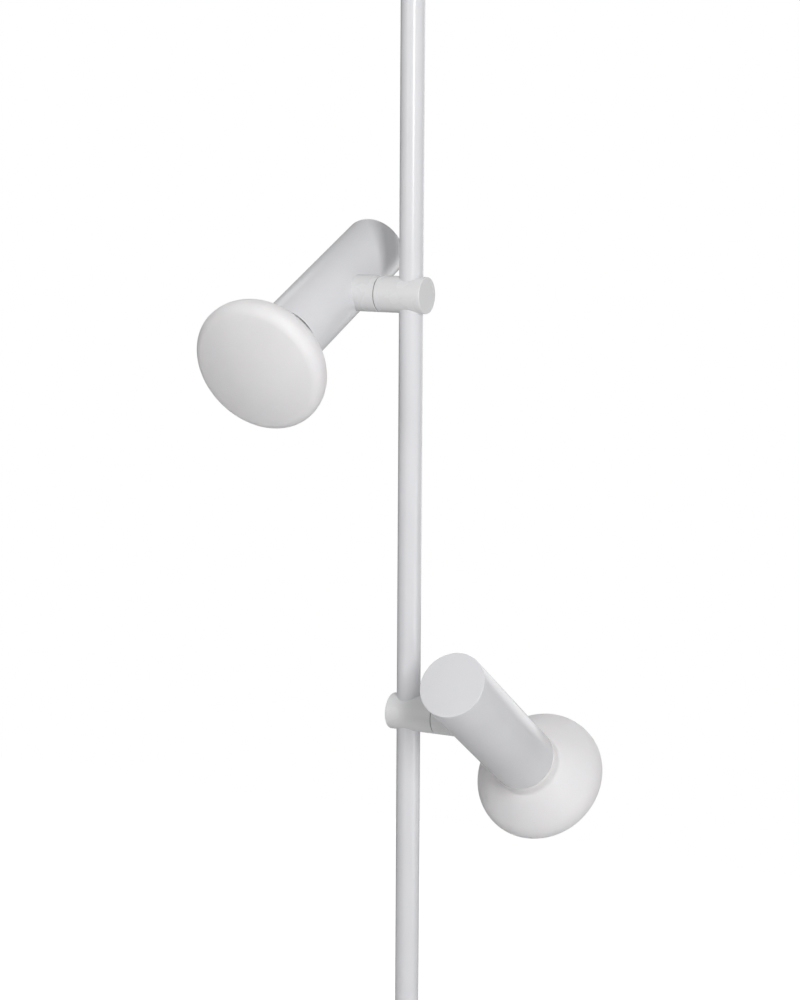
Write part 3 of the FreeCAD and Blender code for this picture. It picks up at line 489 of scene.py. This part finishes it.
# %% Turn and bore the clamps
CLAMP_R = 19.0
CLAMP_END = 18.5
CLAMP_FACE = 34.6
CLAMP_ROUND = 0.9
POLE_BORE_R = 12.8
RECESS_R = 13.65
RECESS_HALF = 10.95
PIVOT_THREAD_R = 5.0
SCREW_HOLE_R = 3.0
SCREW_SIDE = {"upper": -1, "lower": 1}
PIN_HOLE_R = 1.5
PIN_HOLE_DEPTH = 4.1
PIN_DROP = 14.0       # the stop pin stands below the pivot


def clamp_place(head):
    """Matrix of a clamp: X along the arm, Z up, origin on the pole's axis."""
    arm = Vector(joints[head + "_tilt"]["axis"]).normalized()
    up = Vector((0, 0, 1))
    height = Matrix.Translation((0, 0, places[head].translation.z))
    return height @ Matrix((arm, up.cross(arm), up)).transposed().to_4x4()


def make_clamp(head):
    """Clamp with the pole's bore, the liner's recess, the pivot's thread, and screw and pin holes."""
    place = clamp_place(head)
    outline = soften([(0, -CLAMP_END), (CLAMP_R, -CLAMP_END), (CLAMP_R, CLAMP_FACE), (0, CLAMP_FACE)],
                     CLAMP_ROUND)
    along_arm = place @ Matrix.Rotation(math.pi / 2, 4, "Y")
    piece = settle(head + "_clamp", turn(head + "_clamp", outline, cast_enamel, 192), along_arm,
                   head + "_clamp", head + "_clamp_body")
    drill(piece, place, ((0, 0, 1), POLE_BORE_R, -25, 25), ((0, 0, 1), RECESS_R, -RECESS_HALF, RECESS_HALF),
          ((1, 0, 0), PIVOT_THREAD_R, 0, 40), ((0, SCREW_SIDE[head], 0), SCREW_HOLE_R, 0, 25),
          ((1, 0, 0), PIN_HOLE_R, CLAMP_FACE - PIN_HOLE_DEPTH, 40, 0, 0, -PIN_DROP))
    return piece


for head in HEADS:
    clamp = make_clamp(head)
    print(clamp.name, len(clamp.data.polygons), "faces")

# %% [markdown]
# ## Back caps
# A flat disc closes each tube behind. Its edge is turned to a small round, which shows as a light rim
# against the flat face, and a hairline is left where it meets the tube. A spigot behind the disc pushes
# into the tube and holds it.

# %% Turn the back caps
CAP_SPIGOT = 10.0
CAP_ROUND = 0.9


def make_cap(head):
    """Disc with a rounded edge and a hollow spigot."""
    back = -TUBE_BACK
    seat = back + CAP_PLATE
    outer = TUBE_R - TUBE_WALL - 0.03
    rim = soften([(0, back), (TUBE_R, back), (TUBE_R, seat), (outer, seat), (outer, seat + CAP_SPIGOT),
                  (outer - 1.5, seat + CAP_SPIGOT), (outer - 1.5, seat + 0.5), (0, seat + 0.5)], CAP_ROUND)
    return settle(head + "_cap", turn(head + "_cap", rim, enamel, 128), places[head], head + "_head",
                  head + "_back_cap")


for head in HEADS:
    print(make_cap(head).name, "closes the tube")

# %% [markdown]
# ## Foot, pads and ceiling cup
# The pole stands on a turned steel foot with a rubber pad under it, and a cup of the same kind carries
# the ceiling pad. They are turned on a lathe, so each is an outline again. The rounding is small on the
# rims, where the lathe only breaks the edge, and larger on the pads, which come from a mould.

# %% Turn the foot, the pads and the cup
FOOT = [(0, 4), (32.1, 4), (32.1, 2.5), (35, 2.5), (35, 9), (33.5, 10.5), (16, 15), (16, 20), (10.95, 20),
        (10.95, 60), (8, 60), (8, 14), (0, 14)]
FLOOR_PAD = [(0, 0), (32, 0), (32, 4), (0, 4)]
CUP = [(6.05, 2362), (9, 2362), (10, 2363), (11.5, 2378), (15, 2384), (29.5, 2389.5), (31, 2391),
       (31, 2397), (28.1, 2397), (28.1, 2395.5), (0, 2395.5), (0, 2384), (6.05, 2384)]
CEILING_PAD = [(0, 2395.5), (28, 2395.5), (28, 2400), (0, 2400)]
UPRIGHT = Matrix.Identity(4)


def make_end(node, body, corners, radius, material):
    """Turned end piece on the pole's axis."""
    return settle(node + "_turned", turn(node, soften(corners, radius), material), UPRIGHT, body, node)


ends = [make_end("floor_foot", "root", FOOT, 0.6, enamel),
        make_end("floor_pad", "root", FLOOR_PAD, 1.0, rubber),
        make_end("ceiling_cup", "plunger", CUP, 0.6, enamel),
        make_end("ceiling_pad", "plunger", CEILING_PAD, 1.0, rubber)]
print("turned ends:", [end.name for end in ends])

# %% [markdown]
# ## Opal lamps
# The lamp is shaped like a mushroom. A narrow stem stands in the tube, and a short collar as wide as the
# tube sits on its mouth. From there a hollow curve runs out to a rounded rim and a nearly flat front. A
# glass blower turns it against a shaped block, so its outline is a row of arcs and straight runs. The
# sizes below are the arcs' own, and the two skins are 2 mm apart.

# %% Outline of the glass
GLASS_START = 60.6
GLASS_STEM_END = 68.0
GLASS_STEM_R = 15.0
GLASS_NECK_START = 97.0
GLASS_NECK_R = 30.0
GLASS_COLLAR_R = 34.6
GLASS_COLLAR_RISE = 4.6
GLASS_WIDEST = 160.0
GLASS_R = 71.0
GLASS_WALL = 2.0
NECK_FILLET_R = 4.0
REAR_BACK_R = 75.0
REAR_RIM_R = 26.0
REAR_TURN = math.radians(40)
FRONT_RIM_R = 13.0
FRONT_DEPTH = 22.0


def arc(centre, radius, start, end):
    """Points of an arc in steps of about 4 degrees, without its first point."""
    steps = max(2, round(abs(end - start) / math.radians(4)))
    turns = [start + (end - start) * step / steps for step in range(1, steps + 1)]
    return [(centre[0] + radius * math.cos(turn), centre[1] + radius * math.sin(turn)) for turn in turns]


def shoulder(start, end, inset):
    """Two arcs that widen the glass from one radius and height to another."""
    turn = 2 * math.atan((end[0] - start[0]) / (end[1] - start[1]))
    radius = (end[1] - start[1]) / (2 * math.sin(turn))
    return (arc((start[0] + radius, start[1]), radius + inset, math.pi, math.pi - turn)
            + arc((end[0] - radius, end[1]), radius - inset, -turn, 0))


def glass_skin(inset):
    """Outline of one skin of the glass, from its stem to the middle of its front."""
    rim = (GLASS_R - REAR_RIM_R, GLASS_WIDEST)
    back = (rim[0] - (REAR_BACK_R - REAR_RIM_R) * math.cos(REAR_TURN),
            rim[1] + (REAR_BACK_R - REAR_RIM_R) * math.sin(REAR_TURN))
    fillet_x = GLASS_COLLAR_R + NECK_FILLET_R
    drop = math.sqrt((REAR_BACK_R + NECK_FILLET_R) ** 2 - (fillet_x - back[0]) ** 2)
    fillet_turn = math.atan2(drop, fillet_x - back[0])
    front_x = GLASS_R - FRONT_RIM_R
    dome_r = (front_x ** 2 + FRONT_DEPTH ** 2 - FRONT_RIM_R ** 2) / (2 * (FRONT_DEPTH - FRONT_RIM_R))
    dome_z = GLASS_WIDEST + FRONT_DEPTH - dome_r
    dome_turn = math.atan2(GLASS_WIDEST - dome_z, front_x)
    points = [(GLASS_STEM_R - inset, GLASS_START), (GLASS_STEM_R - inset, GLASS_STEM_END)]
    points += shoulder((GLASS_STEM_R, GLASS_STEM_END), (GLASS_NECK_R, GLASS_NECK_START), inset)
    points += [(GLASS_NECK_R - inset, TUBE_FRONT)]
    points += shoulder((GLASS_NECK_R, TUBE_FRONT),
                       (GLASS_COLLAR_R, TUBE_FRONT + GLASS_COLLAR_RISE), inset)
    points += [(GLASS_COLLAR_R - inset, back[1] - drop)]
    points += arc((fillet_x, back[1] - drop), NECK_FILLET_R + inset, math.pi, math.pi - fillet_turn)
    points += arc(back, REAR_BACK_R - inset, -fillet_turn, -REAR_TURN)
    points += arc(rim, REAR_RIM_R - inset, -REAR_TURN, 0)
    points += arc((front_x, GLASS_WIDEST), FRONT_RIM_R - inset, 0, dome_turn)
    points += arc((0, dome_z), dome_r - inset, dome_turn, math.pi / 2)
    return points[:-1] + [(0, GLASS_WIDEST + FRONT_DEPTH - inset)]


print("outer skin:", len(glass_skin(0)), "points")

# %% Blow the glasses
for head in HEADS:
    skins = glass_skin(GLASS_WALL)[::-1] + glass_skin(0)
    mesh = turn(head + "_glass", skins, opal, 128)
    glass = settle(head + "_glass", mesh, places[head], head + "_bulb", head + "_bulb_glass")
    print(glass.name, len(glass.data.polygons), "faces, across", 2 * GLASS_R, "mm")

# %% [markdown]
# ## Screw cap with its rolled thread
# The lamp screws into its holder with a cap of thin nickelled brass. Its thread is rolled, so the ridge
# is as round as the wire of a spring. The core is turned, and a second tree sweeps a small circle along
# a spiral for the ridge. Radius, pitch, number of turns and thickness are the tree's inputs.

# %% The thread tree
CAP_CORE_R = 12.4
CAP_CREST_R = 13.1
THREAD_PITCH = 3.63
THREAD_TURNS = 4.6
THREAD_START = 41.4
RIDGE_R = 1.05


def make_thread_tree():
    """Tree that sweeps a circle along a spiral."""
    tree = bpy.data.node_groups.new("rolled_thread", "GeometryNodeTree")
    tree.interface.new_socket("Geometry", in_out="OUTPUT", socket_type="NodeSocketGeometry")
    for name, kind in (("Radius", "Float"), ("Height", "Float"), ("Turns", "Float"), ("Ridge", "Float"),
                       ("Material", "Material")):
        tree.interface.new_socket(name, in_out="INPUT", socket_type="NodeSocket" + kind)
    given = add_node(tree, "NodeGroupInput").outputs
    spiral = add_node(tree, "GeometryNodeCurveSpiral", {
        "Rotations": given["Turns"], "Start Radius": given["Radius"], "End Radius": given["Radius"],
        "Height": given["Height"]}, {"Resolution": 48})
    circle = add_node(tree, "GeometryNodeCurvePrimitiveCircle", {"Radius": given["Ridge"]},
                      {"Resolution": 10})
    ridge = add_node(tree, "GeometryNodeCurveToMesh", {
        "Curve": spiral.outputs["Curve"], "Profile Curve": circle.outputs["Curve"]}, {"Fill Caps": True})
    real = add_node(tree, "GeometryNodeRealizeInstances", {"Geometry": ridge.outputs["Mesh"]})
    painted = add_node(tree, "GeometryNodeSetMaterial", {
        "Geometry": real.outputs["Geometry"], "Material": given["Material"]})
    add_node(tree, "NodeGroupOutput", {"Geometry": painted.outputs["Geometry"]})
    return tree


threading = make_thread_tree()
print("thread tree:", len(threading.nodes), "nodes")

# %% Make the caps
CAP = [(0, 36.25), (4.8, 36.25), (4.8, 37.25), (11.5, 39.5), (CAP_CORE_R, 40.5), (CAP_CORE_R, 59.5),
       (16.5, 62.1), (16.5, 67), (15.1, 67), (15.1, 60.6), (11, 57.6), (11, 43.5), (0, 43.5)]


def joined(name, *meshes):
    """One mesh out of several."""
    work = bmesh.new()
    for mesh in meshes:
        work.from_mesh(mesh)
    whole = bpy.data.meshes.new(name)
    work.to_mesh(whole)
    work.free()
    for material in meshes[0].materials:
        whole.materials.append(material)
    return whole


def make_lamp_cap(head):
    """Turned core with the spiral ridge on it."""
    core = turn("cap_core", soften(CAP, 0.3), nickel, 64)
    ridge = grow("cap_ridge", threading, radius=(CAP_CREST_R - RIDGE_R) * MM, turns=THREAD_TURNS,
                 height=THREAD_TURNS * THREAD_PITCH * MM, ridge=RIDGE_R * MM, material=nickel)
    ridge.transform(Matrix.Translation((0, 0, THREAD_START * MM)))
    mesh = joined("lamp_cap", core, ridge)
    return settle(head + "_lamp_cap", mesh, places[head], head + "_bulb", head + "_bulb_cap")


for head in HEADS:
    print(make_lamp_cap(head).name, "with", THREAD_TURNS, "turns of thread")

# %% [markdown]
# ## Light source inside the glass
# Behind the opal glass a white board carries a ring of yellow emitters, on an aluminium column that takes
# their heat away. The emitters are all alike, so a third tree sets copies of one small block on a circle
# and turns each to face outwards. Column and board are turned pieces.

# %% The emitter tree
LED_COUNT = 12
LED_RING_R = 15.0
LED_SIZE = 3.0
LED_THICK = 0.8


def make_emitter_tree():
    """Tree that sets blocks on a circle."""
    tree = bpy.data.node_groups.new("emitter_ring", "GeometryNodeTree")
    tree.interface.new_socket("Geometry", in_out="OUTPUT", socket_type="NodeSocketGeometry")
    for name, kind in (("Count", "Int"), ("Radius", "Float"), ("Size", "Vector"),
                       ("Material", "Material")):
        tree.interface.new_socket(name, in_out="INPUT", socket_type="NodeSocket" + kind)
    given = add_node(tree, "NodeGroupInput").outputs
    ring = add_node(tree, "GeometryNodeCurvePrimitiveCircle", {
        "Resolution": given["Count"], "Radius": given["Radius"]})
    places_on_ring = add_node(tree, "GeometryNodeCurveToPoints", {
        "Curve": ring.outputs["Curve"], "Count": given["Count"]})
    block = add_node(tree, "GeometryNodeMeshCube", {"Size": given["Size"]})
    tangent = places_on_ring.outputs["Tangent"]
    facing = add_node(tree, "FunctionNodeAlignRotationToVector", {"Vector": tangent}, axis="X",
                      pivot_axis="Z")
    copies = add_node(tree, "GeometryNodeInstanceOnPoints", {
        "Points": places_on_ring.outputs["Points"], "Instance": block.outputs["Mesh"],
        "Rotation": facing.outputs["Rotation"]})
    real = add_node(tree, "GeometryNodeRealizeInstances", {"Geometry": copies.outputs["Instances"]})
    painted = add_node(tree, "GeometryNodeSetMaterial", {
        "Geometry": real.outputs["Geometry"], "Material": given["Material"]})
    add_node(tree, "NodeGroupOutput", {"Geometry": painted.outputs["Geometry"]})
    return tree


emitting = make_emitter_tree()
print("emitter tree:", len(emitting.nodes), "nodes")

# %% Set up the light sources
BOARD_R = 22.0
BOARD_FACE = 107.6
BOARD_BACK = 106.0
COLUMN = [(0, 46.5), (10.5, 46.5), (10.5, 92), (20, 100), (24, 101.5), (24, BOARD_BACK), (0, BOARD_BACK)]
BOARD = [(0, BOARD_BACK), (BOARD_R, BOARD_BACK), (BOARD_R, BOARD_FACE), (0, BOARD_FACE)]


def make_source(head):
    """Column, board and ring of emitters, each with its own finish."""
    column = turn("column", soften(COLUMN, 0.4), cast_aluminium, 64)
    source = settle(head + "_light_column", column, places[head], head + "_bulb", head + "_led_engine")
    board = turn("board", soften(BOARD, 0.1), board_mask, 64)
    plate = settle(head + "_light_board", board, places[head], head + "_bulb")
    ring = grow("emitters", emitting, count=LED_COUNT, radius=LED_RING_R * MM,
                size=(LED_SIZE * MM, LED_SIZE * MM, LED_THICK * MM), material=phosphor)
    ring.transform(Matrix.Translation((0, 0, (BOARD_FACE + LED_THICK / 2) * MM)))
    emitters = settle(head + "_emitters", ring, places[head], head + "_bulb")
    return source, plate, emitters


for head in HEADS:
    print([piece.name for piece in make_source(head)])

# %% [markdown]
# ## Floor, walls and light
# The lamp stands on a pale floor in a white room. The floor takes the lamp's shadow, and is lifted to
# white where it is seen. The room gives the lamp an even, weak light, and mirrors a little stronger.

# %% Floor and world
FLOOR_HALF = 3.0
FLOOR_GLOW = 0.80
AMBIENT = 0.27        # what the lamp's surfaces get from all sides
REFLECTED = 0.42      # what they mirror where no lamp stands


def seen_ray(tree):
    """1 for rays that show the background: from the camera or through a transmission."""
    path = add_node(tree, "ShaderNodeLightPath").outputs
    return add_node(tree, "ShaderNodeMath", {0: path["Is Camera Ray"], 1: path["Is Transmission Ray"]},
                    operation="MAXIMUM").outputs[0]


def make_sheet(name, half_width, half_height, material):
    """Flat sheet for the surroundings, facing along Z."""
    mesh = bpy.data.meshes.new(name)
    mesh.from_pydata([(-half_width, -half_height, 0), (half_width, -half_height, 0),
                      (half_width, half_height, 0), (-half_width, half_height, 0)], [], [(0, 1, 2, 3)])
    mesh.materials.append(material)
    sheet = bpy.data.objects.new(name, mesh)
    bpy.context.scene.collection.objects.link(sheet)
    return sheet


def make_floor():
    """Pale floor: a dull surface that takes the lamp's shadow, lifted to white where it is seen."""
    material, tree = new_material("pale_floor")
    dull = add_node(tree, "ShaderNodeBsdfDiffuse", values={"Color": linear("#DADADA")})
    lift = add_node(tree, "ShaderNodeMath", {0: seen_ray(tree)}, {1: FLOOR_GLOW}, operation="MULTIPLY")
    glow = add_node(tree, "ShaderNodeEmission", {"Strength": lift.outputs[0]})
    both = add_node(tree, "ShaderNodeAddShader", {0: dull.outputs[0], 1: glow.outputs[0]})
    add_node(tree, "ShaderNodeOutputMaterial", {"Surface": both.outputs[0]})
    return make_sheet("floor", FLOOR_HALF, FLOOR_HALF, material)


def make_world():
    """White surroundings where they are seen, and a plain level of light on the lamp."""
    world = bpy.data.worlds.new("white_room")
    bpy.context.scene.world = world
    world.use_nodes = True
    tree = world.node_tree
    tree.nodes.clear()
    path = add_node(tree, "ShaderNodeLightPath").outputs
    level = add_node(tree, "ShaderNodeMapRange", {"Value": path["Is Glossy Ray"]},
                     {"To Min": AMBIENT, "To Max": REFLECTED})
    white = add_node(tree, "ShaderNodeMath", {0: level.outputs["Result"], 1: seen_ray(tree)},
                     operation="MAXIMUM")
    sky = add_node(tree, "ShaderNodeBackground", {"Strength": white.outputs[0]},
                   {"Color": linear("#FFFFFF")})
    add_node(tree, "ShaderNodeOutputWorld", {"Surface": sky.outputs[0]})


floor = make_floor()
make_world()
print(floor.name, "half side:", FLOOR_HALF, "m; world light:", AMBIENT, "mirrored:", REFLECTED)

# %% [markdown]
# ## Lamps
# The shading in the photograph tells where its light came from. A tall, narrow soft box stands just to
# the right of the camera and does most of the work: it draws the thin bright streak down the pole.
# Weaker boxes stand low on both sides and overhead, and two behind lighten the edges. Each is told by
# its angle to the right of the camera, its angle above level, its size in metres and its watts.

# %% Soft boxes
AIM = Vector((0, 0, 1.3))
STAND_OFF = 2.6
SOFT_BOXES = {
    "key_lamp": (13.5, 20, (0.36, 1.3), 40),
    "left_lamp": (-44, 18, (0.9, 1.3), 7.5),
    "low_right_lamp": (60, -16, (1.2, 0.9), 9),
    "low_left_lamp": (-30, -18, (1.2, 0.8), 3.5),
    "top_lamp": (0, 75, (1.4, 1.6), 11),
    "back_right_lamp": (150, 12, (1.3, 2.4), 11),
    "back_left_lamp": (-140, 35, (1.4, 1.6), 7),
}


def aimed(right, up):
    """Place and turn of something that faces the heads, told from the camera's point of view."""
    around = CAMERA_TURN - math.pi / 2 + math.radians(right)
    rise = math.radians(up)
    away = Vector((math.cos(around) * math.cos(rise), math.sin(around) * math.cos(rise), math.sin(rise)))
    return AIM + away * STAND_OFF, away.to_track_quat("Z", "Y").to_euler()


def make_lamp(name, right, up, size, power):
    """Soft box at a place told from the camera's point of view, facing the heads."""
    data = bpy.data.lights.new(name, "AREA")
    data.shape = "RECTANGLE"
    data.size, data.size_y = size
    data.energy = power
    lamp = bpy.data.objects.new(name, data)
    bpy.context.scene.collection.objects.link(lamp)
    lamp.location, lamp.rotation_euler = aimed(right, up)
    lamp.visible_camera = False
    return lamp


for name, (right, up, size, power) in SOFT_BOXES.items():
    print(name, [round(value, 2) for value in make_lamp(name, right, up, size, power).location])

# %% [markdown]
# ## Dark card
# Glossy white paint only looks round if it also mirrors something dark. A black card behind on the left
# does that: it draws the dark line down the left edge of pole and tubes. It is seen in reflections only,
# so it takes no light from the lamp and stays out of the picture.

# %% Black card
CARD = (-132, 5, (2.6, 3.0))


def make_card(right, up, size):
    """Black card at a place told like a lamp's, seen by reflections only."""
    material, tree = new_material("black_card")
    dark = add_node(tree, "ShaderNodeBsdfDiffuse", values={"Color": linear("#101010")})
    add_node(tree, "ShaderNodeOutputMaterial", {"Surface": dark.outputs[0]})
    card = make_sheet("card", size[0] / 2, size[1] / 2, material)
    card.location, card.rotation_euler = aimed(right, up)
    card.visible_camera = False
    card.visible_diffuse = False
    card.visible_transmission = False
    card.visible_shadow = False
    return card


print("card at", [round(value, 2) for value in make_card(*CARD).location])

# %% [markdown]
# ## View transform
# The picture is shown with the Standard view transform. The dressed lamp has to stay inside
# the imported model's box.

# %% View transform
bpy.context.scene.view_settings.view_transform = "Standard"
